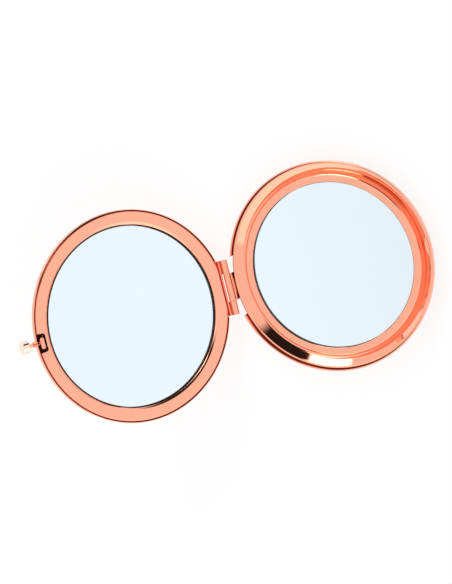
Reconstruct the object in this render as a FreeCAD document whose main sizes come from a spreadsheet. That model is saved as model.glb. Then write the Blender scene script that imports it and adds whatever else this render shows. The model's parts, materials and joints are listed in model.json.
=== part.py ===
import FreeCAD, Part

# Round double compact mirror, lying open.
# Two stamped shells turn on a pinned hinge. Each shell holds a frame with a round mirror in it.
# A push knob on the lid's edge works a spring latch that lets go of a hook on the base.
#
# Lengths are millimetres. The base lies flat with its centre on the Z axis, the hinge is on the
# -X side and the catch on the +X side. The lid's pieces are drawn shut, over the base, and are then
# turned back about the hinge pin by the opening angle.

import math
import os

import Sketcher
from FreeCAD import Placement, Rotation, Vector

# Driving dimensions: name, value and meaning
SIZES = (
    ("shell_radius", 35.0, "outer radius of both halves"),
    ("shell_sheet", 0.45, "thickness of the stamped shells"),
    ("parting_gap", 0.1, "gap between the two rims when shut"),
    ("open_angle", 135.0, "how far the lid is turned back from shut, in degrees"),
    ("base_height", 7.0, "outside height of the base shell"),
    ("base_wall", 1.0, "straight wall of the base shell, from its rim to its rounded edge"),
    ("lid_height", 4.4, "outside height of the lid shell"),
    ("lid_wall", 0.8, "straight wall of the lid shell, from its rim to its rounded edge"),
    ("frame_clearance", 0.15, "radial gap between a shell and the frame in it"),
    ("seat_clearance", 0.02, "gap round a piece that is soldered or pressed into its seat"),
    ("base_liner_thickness", 1.2, "pad between the base shell and its frame"),
    ("base_floor_thickness", 1.3, "base frame's floor under the mirror"),
    ("base_ring_flat", 1.01, "flat top of the base's ring, from the mirror's pocket"),
    ("base_flange_rise", 0.9, "base's ring up to the top of the frame's flange"),
    ("base_flange_width", 0.35, "flat top of the frame's flange"),
    ("groove_depth", 1.42, "base's ring down to the bottom of the round groove"),
    ("groove_floor_width", 0.04, "flat bottom of the groove"),
    ("groove_outer_slope", 37.0, "slope of the groove's outer side, in degrees"),
    ("groove_inner_slope", 50.0, "slope of the groove's inner side, in degrees"),
    ("ring_edge_radius", 2.2, "rounded edge of both rings, at the groove and at the lid's mirror"),
    ("lid_ring_edge_slope", 40.0, "slope of the lid's ring at its mirror, in degrees"),
    ("base_mirror_recess", 0.3, "base's ring down to its mirror"),
    ("lid_mirror_recess", 0.55, "lid's ring face down to its mirror"),
    ("mirror_thickness", 1.0, "glass of both mirrors"),
    ("mirror_clearance", 0.1, "radial gap round each mirror"),
    ("tape_thickness", 0.25, "adhesive pad behind each mirror"),
    ("tape_margin", 2.0, "adhesive pad's edge inside the mirror's edge"),
    ("lid_ring_width", 4.35, "flat ring from the mirror's pocket to the lid shell"),
    ("lid_ring_proud", 0.1, "how far the lid's ring stands out of its rim"),
    ("lid_ring_thickness", 0.5, "plate of the lid's ring"),
    ("lid_skirt_thickness", 0.5, "wall round the lid's mirror"),
    ("lid_floor_thickness", 0.5, "lid frame's floor behind the mirror"),
    ("hinge_offset", 1.1, "pin axis outside the shells"),
    ("knuckle_radius", 1.15, "outside of the hinge barrel"),
    ("pin_radius", 0.5, "hinge pin"),
    ("pin_clearance", 0.04, "radial running gap of the lid's knuckles on the pin"),
    ("base_knuckle_length", 9.1, "middle knuckle"),
    ("lid_knuckle_length", 4.6, "each outer knuckle"),
    ("knuckle_play", 0.1, "gap between neighbouring knuckles"),
    ("leaf_thickness", 0.4, "sheet of the hinge leaves"),
    ("leaf_gap", 0.05, "gap between the base's leaf and what it stands against"),
    ("base_leaf_drop", 1.8, "base leaf's plate below its arm"),
    ("base_leaf_rise", 0.85, "base leaf's plate above its arm"),
    ("base_notch_margin", 0.7, "base shell's notch beyond each end of the hinge"),
    ("lid_notch_margin", 0.2, "lid shell's notch beyond its hinge leaf"),
    ("lid_leaf_depth", 3.2, "lid leaf's plate inwards from the ring's edge"),
    ("lid_leaf_proud", 0.45, "lid leaf's plate edge outside the ring's edge, between its arms"),
    ("lid_ring_flat", 0.95, "straight cut of the lid's ring along the hinge, from the ring's edge"),
    ("latch_proud", 0.65, "latch's lip outside the lid's ring face"),
    ("latch_play", 0.1, "gap between the latch's lip and the hook's beak"),
    ("latch_lip_thickness", 0.45, "latch's lip"),
    ("latch_lip_width", 3.8, "latch's lip along the rim"),
    ("latch_lip_depth", 1.45, "latch's lip across the rim"),
    ("latch_block_thickness", 0.65, "latch's block across the rim"),
    ("latch_block_width", 3.2, "latch's block along the rim"),
    ("latch_block_wall", 0.25, "latch's block above the stem"),
    ("hook_width", 6.2, "catch hook along the rim"),
    ("hook_thickness", 0.45, "plate of the catch hook"),
    ("hook_wall_gap", 0.03, "hook's foot inside the base shell's rounded wall"),
    ("hook_lip_gap", 0.1, "hook's plate outside the latch's lip"),
    ("hook_seat_depth", 0.55, "hook's foot below the flange"),
    ("beak_thickness", 0.4, "bent top of the hook"),
    ("beak_reach", 0.65, "bent top inwards from the hook's plate"),
    ("beak_width", 5.6, "bent top where it leaves the plate"),
    ("beak_side_angle", 25.0, "lean of the beak's sides, in degrees, that pushes the latch aside"),
    ("slot_width", 6.8, "slot in the lid's ring for hook and latch, along the rim"),
    ("slot_play", 0.1, "slot's end beyond the latch when the knob is pressed home"),
    ("button_travel", 0.8, "how far the knob can be pressed"),
    ("stem_radius", 0.55, "knob's stem"),
    ("stem_insert", 1.6, "stem's end inside the knob"),
    ("knob_radius", 2.15, "push knob"),
    ("knob_length", 2.6, "push knob along its stem"),
    ("knob_edge_radius", 0.3, "rounded edges of the knob"),
    ("knob_standoff", 2.2, "knob's inner face outside the shell"),
    ("bush_radius", 0.95, "bush that guides the stem through the wall"),
    ("bush_clearance", 0.05, "radial running gap of the stem in the bush"),
    ("bush_proud", 0.5, "bush's end outside the shell"),
    ("bush_length", 1.8, "bush along the stem"),
    ("spring_thickness", 0.2, "strip of the bow spring"),
    ("spring_height", 1.4, "width of the spring's strip"),
    ("spring_span", 7.2, "spring along the rim"),
    ("spring_play", 0.1, "spring's ends off the skirt"),
    ("overrun", 2.0, "how far a cut runs past the solid"),
)


class Size:
    """A number that keeps the sheet formula it came from."""

    def __init__(self, value, formula):
        self.value = value
        self.formula = formula

    def __add__(self, other):
        other = as_size(other)
        return Size(self.value + other.value, f"({self.formula} + {other.formula})")

    def __sub__(self, other):
        other = as_size(other)
        return Size(self.value - other.value, f"({self.formula} - {other.formula})")

    def __mul__(self, other):
        other = as_size(other)
        return Size(self.value * other.value, f"({self.formula} * {other.formula})")

    def __truediv__(self, other):
        other = as_size(other)
        return Size(self.value / other.value, f"({self.formula} / {other.formula})")

    def __neg__(self):
        return Size(-self.value, f"(-1 * {self.formula})")


def as_size(number):
    return number if isinstance(number, Size) else Size(number, repr(number))


def root(size):
    return Size(math.sqrt(size.value), f"sqrt({size.formula})")


def cosine(angle):
    return Size(math.cos(math.radians(angle.value)), f"cos({angle.formula} * 1 deg)")


def sine(angle):
    return Size(math.sin(math.radians(angle.value)), f"sin({angle.formula} * 1 deg)")


def cotangent(angle):
    return cosine(angle) / sine(angle)


def leg(radius, rise):
    """Other leg of the right triangle whose longest side is a radius."""
    return root(radius * radius - rise * rise)


ZERO = as_size(0)

doc = FreeCAD.newDocument("compact_mirror")
sheet = doc.addObject("Spreadsheet::Sheet", "Sizes")
for row, (name, value, meaning) in enumerate(SIZES, start=1):
    sheet.set(f"A{row}", name)
    sheet.set(f"B{row}", str(value))
    sheet.set(f"C{row}", meaning)
    sheet.setAlias(f"B{row}", name)
doc.recompute()


class Sheet:
    """The sheet's cells as sizes, by name."""


for name, value, meaning in SIZES:
    setattr(Sheet, name, Size(value, f"Sizes.{name}"))


# Drawing helpers

# The sketcher's numbers for the points of an edge and for its two axes
START, END, CENTRE = range(1, 4)
X_AXIS, Y_AXIS = range(-1, -3, -1)
ORIGIN = (X_AXIS, START)


def tie_distance(sketch, kind, axis, spot, size):
    """Tie a spot, an edge and which of its points, to the sheet by its distance from an axis."""
    if size.value == 0:
        sketch.addConstraint(Sketcher.Constraint("PointOnObject", *spot, axis))
        return
    spots = (ORIGIN, spot)
    if size.value < 0:
        spots = (spot, ORIGIN)
        size = -size
    tie = sketch.addConstraint(Sketcher.Constraint(kind, *spots[0], *spots[1], size.value))
    sketch.setExpression(f"Constraints[{tie}]", size.formula)


def tie_x(sketch, spot, x):
    tie_distance(sketch, "DistanceX", Y_AXIS, spot, x)


def tie_y(sketch, spot, y):
    tie_distance(sketch, "DistanceY", X_AXIS, spot, y)


def tie_point(sketch, spot, x, y):
    tie_x(sketch, spot, x)
    tie_y(sketch, spot, y)


def tie_radius(sketch, edge, radius):
    tie = sketch.addConstraint(Sketcher.Constraint("Radius", edge, radius.value))
    sketch.setExpression(f"Constraints[{tie}]", radius.formula)


def point(x, y):
    return Vector(x.value, y.value, 0)


def arc_edge(start, stop, centre, clockwise):
    if clockwise:
        start, stop = stop, start
    circle = Part.Circle(centre, Vector(0, 0, 1), centre.distanceToPoint(start))
    angles = [math.atan2(spot.y - centre.y, spot.x - centre.x) for spot in (start, stop)]
    return Part.ArcOfCircle(circle, *angles)


class Outline:
    """One closed outline, drawn point by point from a start, each point tied to the sheet."""

    def __init__(self, x, y):
        self.points = [(x, y)]
        self.steps = []

    def line(self, x, y):
        self.points.append((x, y))
        self.steps.append(None)
        return self

    def arc(self, x, y, centre, clockwise=False):
        self.points.append((x, y))
        self.steps.append((centre, clockwise))
        return self

    def draw(self, sketch):
        """Draw the steps and a last line back to the start, unless the last step ends there."""
        points = self.points
        steps = self.steps
        if [size.formula for size in points[-1]] == [size.formula for size in points[0]]:
            points = points[:-1]
        else:
            steps = steps + [None]
        ends = []
        for number, step in enumerate(steps):
            start = point(*points[number])
            stop = point(*points[(number + 1) % len(points)])
            if step is None:
                edge = sketch.addGeometry(Part.LineSegment(start, stop))
                ends.append((edge, START, END))
                continue
            centre, clockwise = step
            edge = sketch.addGeometry(arc_edge(start, stop, point(*centre), clockwise))
            ends.append((edge, END, START) if clockwise else (edge, START, END))
            if abs(stop.x - start.x) < abs(stop.y - start.y):
                tie_x(sketch, (edge, CENTRE), centre[0])
            else:
                tie_y(sketch, (edge, CENTRE), centre[1])
        for number, (edge, first, last) in enumerate(ends):
            after, after_first, after_last = ends[(number + 1) % len(ends)]
            sketch.addConstraint(Sketcher.Constraint("Coincident", edge, last, after, after_first))
            tie_point(sketch, (edge, first), *points[number])


class Ring:
    """One full circle, tied to the sheet."""

    def __init__(self, x, y, radius):
        self.x = x
        self.y = y
        self.radius = radius

    def draw(self, sketch):
        circle = Part.Circle(point(self.x, self.y), Vector(0, 0, 1), self.radius.value)
        edge = sketch.addGeometry(circle)
        tie_point(sketch, (edge, CENTRE), self.x, self.y)
        tie_radius(sketch, edge, self.radius)


def rectangle(x_low, y_low, x_high, y_high):
    return Outline(x_low, y_low).line(x_high, y_low).line(x_high, y_high).line(x_low, y_high)


def new_body(label):
    return doc.addObject("PartDesign::Body", label)


def new_sketch(body, plane, shapes, offset=ZERO):
    """A sketch with the given shapes, on one of the body's own planes or off it along its normal."""
    sketch = body.newObject("Sketcher::SketchObject", f"{body.Label}_sketch")
    support = [f for f in body.Origin.OriginFeatures if f.Role == plane][0]
    sketch.AttachmentSupport = [(support, "")]
    sketch.MapMode = "FlatFace"
    sketch.setExpression("AttachmentOffset.Base.z", offset.formula)
    for shape in shapes:
        shape.draw(sketch)
    doc.recompute()
    return sketch


def turned(body, outline):
    """Turn an outline, drawn as radius and height, right round the Z axis."""
    sketch = new_sketch(body, "XZ_Plane", [outline])
    feature = body.newObject("PartDesign::Revolution", f"{body.Label}_turned")
    feature.Profile = sketch
    feature.ReferenceAxis = (sketch, ["V_Axis"])
    feature.Angle = 360
    doc.recompute()


def swept_sector(body, kind, outline, angle):
    """Add (Revolution) or cut (Groove) an outline turned part of the way, half to each side of +X."""
    sketch = new_sketch(body, "XZ_Plane", [outline])
    feature = body.newObject(kind, f"{body.Label}_sector")
    feature.Profile = sketch
    feature.ReferenceAxis = (sketch, ["V_Axis"])
    feature.Midplane = True
    feature.setExpression("Angle", angle.formula)
    doc.recompute()


def raised(body, plane, shapes, length, offset=ZERO, both_ways=False, lean=ZERO):
    """Pad shapes along their plane's normal, or half to each side of it. Sides may lean inwards."""
    sketch = new_sketch(body, plane, shapes, offset)
    feature = body.newObject("PartDesign::Pad", f"{body.Label}_raised")
    feature.Profile = sketch
    feature.SideType = "Symmetric" if both_ways else "One side"
    feature.setExpression("Length", length.formula)
    feature.setExpression("TaperAngle", (-lean).formula)
    doc.recompute()


def cut_through(body, plane, shapes, reverse=False, both_ways=False):
    """Cut shapes through the body on one side of their plane, or on both, and see that it cut."""
    before = body.Shape.Volume
    sketch = new_sketch(body, plane, shapes)
    feature = body.newObject("PartDesign::Pocket", f"{body.Label}_cut")
    feature.Profile = sketch
    feature.Type = "ThroughAll"
    feature.SideType = "Symmetric" if both_ways else "One side"
    feature.Reversed = reverse
    doc.recompute()
    if not body.Shape.Volume < before:
        raise RuntimeError(f"{body.Label}: a cut missed the solid")


def disc(label, radius, bottom, top):
    body = new_body(label)
    turned(body, rectangle(ZERO, bottom, radius, top))
    return body


S = Sheet


def ring_edge(slope):
    """Reach and drop of a ring's rounded edge, from its flat to where it slopes as given."""
    return S.ring_edge_radius * sine(slope), S.ring_edge_radius * (as_size(1) - cosine(slope))


# Places shared by neighbouring pieces, drawn shut
shell_inner = S.shell_radius - S.shell_sheet
frame_radius = shell_inner - S.frame_clearance
lid_rim = S.base_height + S.parting_gap
lid_top = lid_rim + S.lid_height
half_base_knuckle = S.base_knuckle_length / 2
lid_knuckle_start = half_base_knuckle + S.knuckle_play
half_hinge = lid_knuckle_start + S.lid_knuckle_length

base_edge_radius = S.base_height - S.base_wall
base_edge_r = S.shell_radius - base_edge_radius
base_edge_z = base_edge_radius
base_floor_bottom = S.shell_sheet + S.base_liner_thickness
base_floor_top = base_floor_bottom + S.base_floor_thickness
base_glass_bottom = base_floor_top + S.tape_thickness
base_glass_top = base_glass_bottom + S.mirror_thickness
base_ring_z = base_glass_top + S.base_mirror_recess
flange_z = base_ring_z + S.base_flange_rise
groove_z = base_ring_z - S.groove_depth
base_frame_edge = base_edge_radius - S.shell_sheet - S.frame_clearance
flange_outer = base_edge_r + leg(base_frame_edge, base_edge_z - flange_z)
flange_inner = flange_outer - S.base_flange_width
groove_outer_r = flange_inner - (flange_z - groove_z) * cotangent(S.groove_outer_slope)
groove_inner_r = groove_outer_r - S.groove_floor_width
shoulder_reach, shoulder_drop = ring_edge(S.groove_inner_slope)
shoulder_foot_z = base_ring_z - shoulder_drop
shoulder_foot_r = groove_inner_r - (shoulder_foot_z - groove_z) * cotangent(S.groove_inner_slope)
shoulder_r = shoulder_foot_r - shoulder_reach
base_pocket_radius = shoulder_r - S.base_ring_flat
base_mirror_radius = base_pocket_radius - S.mirror_clearance

lid_edge_radius = S.lid_height - S.lid_wall
lid_edge_r = S.shell_radius - lid_edge_radius
lid_edge_z = lid_rim + S.lid_wall
lid_ceiling = lid_top - S.shell_sheet
ring_face = lid_rim - S.lid_ring_proud
ring_back = ring_face + S.lid_ring_thickness
lid_glass_face = ring_face + S.lid_mirror_recess
lid_glass_back = lid_glass_face + S.mirror_thickness
lid_floor_face = lid_glass_back + S.tape_thickness
lid_floor_back = lid_floor_face + S.lid_floor_thickness
lid_pocket_radius = frame_radius - S.lid_ring_width
lid_mirror_radius = lid_pocket_radius - S.mirror_clearance
skirt_radius = lid_pocket_radius + S.lid_skirt_thickness

lid_leaf_top = ring_back + S.leaf_thickness
hinge_x = -(S.shell_radius + S.hinge_offset)
hinge_z = lid_leaf_top - S.knuckle_radius

stem_z = lid_rim + S.lid_height / 2
hook_foot = flange_z - S.hook_seat_depth
shell_at_foot = base_edge_r + leg(base_edge_radius - S.shell_sheet, base_edge_z - hook_foot)
hook_outer = shell_at_foot - S.hook_wall_gap
hook_inner = hook_outer - S.hook_thickness
lip_outer = hook_inner - S.hook_lip_gap
lip_inner = lip_outer - S.latch_lip_depth
lip_face = ring_face - S.latch_proud
lip_back = lip_face + S.latch_lip_thickness
beak_under = lip_back + S.latch_play
hook_top = beak_under + S.beak_thickness
knob_face = S.shell_radius + S.knob_standoff


def shell_outline(rim, edge_r, edge_z, inner_flat, outer_flat, upside_down):
    """Section of a stamped shell: flat back, rounded edge, straight rim."""
    centre = (edge_r, edge_z)
    outline = Outline(ZERO, outer_flat).line(edge_r, outer_flat)
    outline.arc(S.shell_radius, edge_z, centre, clockwise=upside_down)
    outline.line(S.shell_radius, rim).line(shell_inner, rim).line(shell_inner, edge_z)
    outline.arc(edge_r, inner_flat, centre, clockwise=not upside_down)
    return outline.line(ZERO, inner_flat)


# Base half

def make_base_shell():
    body = new_body("base_shell")
    turned(body, shell_outline(S.base_height, base_edge_r, base_edge_z, S.shell_sheet, ZERO,
                               upside_down=False))
    half_notch = half_hinge + S.base_notch_margin
    notch_floor = hinge_z - S.knuckle_radius - S.base_leaf_drop - S.leaf_gap
    cut_through(body, "YZ_Plane",
                [rectangle(-half_notch, notch_floor, half_notch, S.base_height + S.overrun)])
    return body


def make_base_frame():
    """One piece: floor and pocket for the mirror, flat ring, round groove and flange."""
    body = new_body("base_frame")
    foot_r = base_edge_r + leg(base_frame_edge, base_edge_z - base_floor_bottom)
    outline = Outline(ZERO, base_floor_bottom).line(foot_r, base_floor_bottom)
    outline.arc(flange_outer, flange_z, (base_edge_r, base_edge_z))
    outline.line(flange_inner, flange_z).line(groove_outer_r, groove_z).line(groove_inner_r, groove_z)
    outline.line(shoulder_foot_r, shoulder_foot_z)
    outline.arc(shoulder_r, base_ring_z, (shoulder_r, base_ring_z - S.ring_edge_radius))
    outline.line(base_pocket_radius, base_ring_z)
    outline.line(base_pocket_radius, base_floor_top).line(ZERO, base_floor_top)
    turned(body, outline)
    seat = rectangle(hook_inner - S.seat_clearance, hook_foot - S.seat_clearance,
                     frame_radius + S.overrun, flange_z + S.overrun)
    swept_sector(body, "PartDesign::Groove", seat, along_rim(S.hook_width + S.seat_clearance * 2))
    return body


def along_rim(width):
    """Angle in degrees that a width takes up on the hook's outer face."""
    half_turn = as_size(180)
    return width / hook_outer * half_turn / as_size(math.pi)


def make_catch_hook():
    """Curved plate that stands in the flange, with a round-ended beak bent in at its top."""
    body = new_body("catch_hook")
    plate = rectangle(hook_inner, hook_foot, hook_outer, hook_top)
    swept_sector(body, "PartDesign::Revolution", plate, along_rim(S.hook_width))
    half_beak = S.beak_width / 2
    root_r = hook_inner + S.hook_thickness / 2
    root_x = leg(root_r, half_beak)
    tip_x = hook_inner - S.beak_reach
    depth = root_x - tip_x
    beak_radius = (half_beak * half_beak + depth * depth) / (depth * 2)
    beak = Outline(root_x, half_beak)
    beak.arc(root_x, -half_beak, (tip_x + beak_radius, ZERO))
    beak.arc(root_x, half_beak, (ZERO, ZERO))
    raised(body, "XY_Plane", [beak], S.beak_thickness, offset=beak_under, lean=S.beak_side_angle)
    return body


def make_base_hinge_leaf():
    """Plate in the base shell's notch, arm and middle knuckle, in one piece."""
    body = new_body("base_hinge_leaf")
    plate_in = -(flange_outer + S.leaf_gap)
    plate_out = plate_in - S.leaf_thickness
    arm_under = hinge_z - S.knuckle_radius
    arm_top = arm_under + S.leaf_thickness
    plate_foot = arm_under - S.base_leaf_drop
    plate_top = arm_top + S.base_leaf_rise
    meet_x = hinge_x + leg(S.knuckle_radius, hinge_z - arm_top)
    outline = Outline(plate_in, plate_foot).line(plate_in, plate_top).line(plate_out, plate_top)
    outline.line(plate_out, arm_top).line(meet_x, arm_top)
    outline.arc(hinge_x, arm_under, (hinge_x, hinge_z))
    outline.line(plate_out, arm_under).line(plate_out, plate_foot)
    bore = Ring(hinge_x, hinge_z, S.pin_radius + S.seat_clearance)
    raised(body, "XZ_Plane", [outline, bore], S.base_knuckle_length, both_ways=True)
    return body


def make_hinge_pin():
    body = new_body("hinge_pin")
    raised(body, "XZ_Plane", [Ring(hinge_x, hinge_z, S.pin_radius)], half_hinge * 2, both_ways=True)
    return body


def make_base_half():
    return [
        make_base_shell(),
        make_base_frame(),
        disc("base_mirror", base_mirror_radius, base_glass_bottom, base_glass_top),
        disc("base_mirror_tape", base_mirror_radius - S.tape_margin, base_floor_top, base_glass_bottom),
        disc("base_liner", base_mirror_radius, S.shell_sheet, base_floor_bottom),
        make_base_hinge_leaf(),
        make_hinge_pin(),
        make_catch_hook(),
    ]


# Lid half, drawn shut

def make_lid_shell():
    body = new_body("lid_shell")
    turned(body, shell_outline(lid_rim, lid_edge_r, lid_edge_z, lid_ceiling, lid_top,
                               upside_down=True))
    half_notch = half_hinge + S.lid_notch_margin
    notch_top = lid_leaf_top + S.lid_notch_margin
    cut_through(body, "YZ_Plane",
                [rectangle(-half_notch, lid_rim - S.overrun, half_notch, notch_top)])
    cut_through(body, "YZ_Plane", [Ring(ZERO, stem_z, S.bush_radius + S.seat_clearance)], reverse=True)
    return body


def make_lid_frame():
    """One piece: flat ring, wall round the mirror and floor behind it, cut for latch and hinge."""
    body = new_body("lid_frame")
    edge_reach, edge_drop = ring_edge(S.lid_ring_edge_slope)
    edge_r = lid_pocket_radius + edge_reach
    edge_z = ring_face + edge_drop
    outline = Outline(edge_r, ring_face).line(frame_radius, ring_face).line(frame_radius, ring_back)
    outline.line(skirt_radius, ring_back).line(skirt_radius, lid_floor_back)
    outline.line(ZERO, lid_floor_back).line(ZERO, lid_floor_face)
    outline.line(lid_pocket_radius, lid_floor_face).line(lid_pocket_radius, edge_z)
    outline.arc(edge_r, ring_face, (edge_r, ring_face + S.ring_edge_radius))
    turned(body, outline)
    slot_end = lip_inner - S.button_travel - S.slot_play
    slot = rectangle(slot_end, ring_face - S.overrun, frame_radius + S.overrun, ring_back + S.overrun)
    swept_sector(body, "PartDesign::Groove", slot, along_rim(S.slot_width))
    flat = rectangle(-(frame_radius + S.overrun), -half_hinge, -(frame_radius - S.lid_ring_flat), half_hinge)
    cut_through(body, "XY_Plane", [flat], both_ways=True)
    return body


def make_lid_hinge_leaf():
    """Plate on the back of the ring, two arms and the outer knuckles, bent from one sheet."""
    body = new_body("lid_hinge_leaf")
    plate_in = -(frame_radius - S.lid_leaf_depth)
    meet_x = hinge_x + leg(S.knuckle_radius, ring_back - hinge_z)
    outline = Outline(plate_in, lid_leaf_top).line(hinge_x, lid_leaf_top)
    outline.arc(meet_x, ring_back, (hinge_x, hinge_z))
    outline.line(plate_in, ring_back)
    bore = Ring(hinge_x, hinge_z, S.pin_radius + S.pin_clearance)
    raised(body, "XZ_Plane", [outline, bore], half_hinge * 2, both_ways=True)
    gap_in = -(frame_radius + S.lid_leaf_proud)
    gap_out = hinge_x - S.knuckle_radius - S.overrun
    gap = rectangle(gap_out, -lid_knuckle_start, gap_in, lid_knuckle_start)
    cut_through(body, "XY_Plane", [gap], both_ways=True)
    return body


def make_button_bush():
    body = new_body("button_bush")
    section = [Ring(ZERO, stem_z, S.bush_radius), Ring(ZERO, stem_z, S.stem_radius + S.bush_clearance)]
    start = S.shell_radius + S.bush_proud - S.bush_length
    raised(body, "YZ_Plane", section, S.bush_length, offset=start)
    return body


def make_latch_spring():
    """Bowed strip that stands on the lid's skirt and pushes the latch outwards."""
    body = new_body("latch_spring")
    half_span = S.spring_span / 2
    end_x = skirt_radius + S.spring_play
    crown_x = lip_inner - S.seat_clearance
    depth = crown_x - end_x
    outer = (half_span * half_span + depth * depth) / (depth * 2)
    inner = outer - S.spring_thickness
    centre_x = crown_x - outer
    inner_x = centre_x + (end_x - centre_x) * inner / outer
    inner_y = half_span * inner / outer
    centre = (centre_x, ZERO)
    strip = Outline(end_x, -half_span).arc(end_x, half_span, centre)
    strip.line(inner_x, inner_y).arc(inner_x, -inner_y, centre, clockwise=True)
    raised(body, "XY_Plane", [strip], S.spring_height, offset=stem_z - S.spring_height / 2)
    return body


def make_latch_block():
    """Round-ended lip that holds the hook, on a block that the stem is pressed into."""
    body = new_body("latch_block")
    end_radius = S.latch_lip_depth / 2
    middle_x = lip_inner + end_radius
    end_y = S.latch_lip_width / 2 - end_radius
    lip = Outline(lip_outer, -end_y).line(lip_outer, end_y)
    lip.arc(lip_inner, end_y, (middle_x, end_y)).line(lip_inner, -end_y)
    lip.arc(lip_outer, -end_y, (middle_x, -end_y))
    raised(body, "XY_Plane", [lip], S.latch_lip_thickness, offset=lip_face)
    half_block = S.latch_block_width / 2
    block = rectangle(lip_inner, -half_block, lip_inner + S.latch_block_thickness, half_block)
    block_top = stem_z + S.stem_radius + S.latch_block_wall
    raised(body, "XY_Plane", [block], block_top - lip_back, offset=lip_back)
    bore = Ring(ZERO, stem_z, S.stem_radius + S.seat_clearance)
    cut_through(body, "YZ_Plane", [bore], reverse=True)
    return body


def make_button_stem():
    body = new_body("button_stem")
    length = knob_face + S.stem_insert - lip_inner
    raised(body, "YZ_Plane", [Ring(ZERO, stem_z, S.stem_radius)], length, offset=lip_inner)
    return body


def make_button_knob():
    """Turned knob with rounded edges, pressed onto the stem."""
    body = new_body("button_knob")
    end_x = knob_face + S.knob_length
    edge = S.knob_edge_radius
    wall_z = stem_z + S.knob_radius
    bore_z = stem_z + S.stem_radius + S.seat_clearance
    bore_x = knob_face + S.stem_insert + S.seat_clearance
    outline = Outline(knob_face, bore_z).line(knob_face, wall_z - edge)
    outline.arc(knob_face + edge, wall_z, (knob_face + edge, wall_z - edge), clockwise=True)
    outline.line(end_x - edge, wall_z)
    outline.arc(end_x, wall_z - edge, (end_x - edge, wall_z - edge), clockwise=True)
    outline.line(end_x, stem_z).line(bore_x, stem_z).line(bore_x, bore_z)
    sketch = new_sketch(body, "XZ_Plane", [outline])
    axis = sketch.addGeometry(Part.LineSegment(point(knob_face, stem_z), point(end_x, stem_z)), True)
    tie_point(sketch, (axis, START), knob_face, stem_z)
    tie_point(sketch, (axis, END), end_x, stem_z)
    feature = body.newObject("PartDesign::Revolution", "button_knob_turned")
    feature.Profile = sketch
    feature.ReferenceAxis = (sketch, ["Axis0"])
    feature.Angle = 360
    doc.recompute()
    return body


def make_lid_half():
    return [
        make_lid_shell(),
        make_lid_frame(),
        disc("lid_mirror", lid_mirror_radius, lid_glass_face, lid_glass_back),
        disc("lid_mirror_tape", lid_mirror_radius - S.tape_margin, lid_glass_back, lid_floor_face),
        disc("lid_liner", lid_mirror_radius, lid_floor_back, lid_ceiling),
        make_lid_hinge_leaf(),
        make_button_bush(),
        make_latch_spring(),
        make_latch_block(),
        make_button_stem(),
        make_button_knob(),
    ]


def swing_open(body):
    """Turn a piece of the lid back about the hinge pin, from shut to the opening angle."""
    turn = S.open_angle
    base_x = hinge_x - hinge_x * cosine(turn) + hinge_z * sine(turn)
    base_z = hinge_z - hinge_x * sine(turn) - hinge_z * cosine(turn)
    body.Placement = Placement(Vector(base_x.value, 0, base_z.value), Rotation(Vector(0, -1, 0), turn.value))
    body.setExpression("Placement.Rotation.Angle", turn.formula)
    body.setExpression("Placement.Base.x", base_x.formula)
    body.setExpression("Placement.Base.z", base_z.formula)


base_half = make_base_half()
lid_half = make_lid_half()
for piece in lid_half:
    swing_open(piece)
doc.recompute()

for item in doc.Objects:
    if "Invalid" in item.State or "Error" in item.State:
        raise RuntimeError(f"{item.Label} failed: {item.State}")
for piece in base_half + lid_half:
    if piece.Shape.isNull() or not piece.Shape.isValid() or len(piece.Shape.Solids) != 1:
        raise RuntimeError(f"{piece.Label} is not one valid solid")

os.makedirs("parts", exist_ok=True)
for piece in base_half + lid_half:
    piece.Shape.exportStep(f"parts/{piece.Label}.step")
    print(f"{piece.Label}: {piece.Shape.Volume:.2f} cubic mm")
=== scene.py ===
import json
import math
from typing import NamedTuple

import bmesh
import bpy
from bpy.props import FloatProperty, FloatVectorProperty, IntProperty, PointerProperty
from mathutils import Matrix, Vector


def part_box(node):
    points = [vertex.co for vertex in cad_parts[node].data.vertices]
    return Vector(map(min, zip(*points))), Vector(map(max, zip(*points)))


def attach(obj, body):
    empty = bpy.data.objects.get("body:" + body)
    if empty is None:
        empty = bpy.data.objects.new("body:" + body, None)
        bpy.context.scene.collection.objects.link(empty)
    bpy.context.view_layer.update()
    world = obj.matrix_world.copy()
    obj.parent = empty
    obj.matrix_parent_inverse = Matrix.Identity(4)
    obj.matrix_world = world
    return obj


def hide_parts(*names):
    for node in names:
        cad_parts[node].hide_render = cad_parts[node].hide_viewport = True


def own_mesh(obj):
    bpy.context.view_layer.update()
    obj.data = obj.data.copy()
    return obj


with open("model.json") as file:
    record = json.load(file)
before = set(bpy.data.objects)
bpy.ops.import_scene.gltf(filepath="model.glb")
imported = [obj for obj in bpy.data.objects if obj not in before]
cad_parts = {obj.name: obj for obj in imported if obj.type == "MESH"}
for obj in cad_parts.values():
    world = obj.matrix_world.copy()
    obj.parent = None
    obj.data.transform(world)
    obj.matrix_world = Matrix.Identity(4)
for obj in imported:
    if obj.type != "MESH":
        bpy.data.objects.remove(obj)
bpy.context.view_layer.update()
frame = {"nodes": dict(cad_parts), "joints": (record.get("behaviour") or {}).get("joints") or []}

bl_info = {
    "name": "Rose gold compact mirror",
    "version": (1, 0, 0),
    "blender": (4, 5, 0),
    "location": "View3D > Sidebar > Compact",
    "description": "Dresses a round double compact mirror, lying open, and sets its studio",
    "category": "Object",
}

MM = 0.001


# Places that the frame gives

class Box(NamedTuple):
    """Lowest and highest corners of a node."""

    low: Vector
    high: Vector


def joint(name):
    return next(item for item in frame["joints"] if item["name"] == name)


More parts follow.
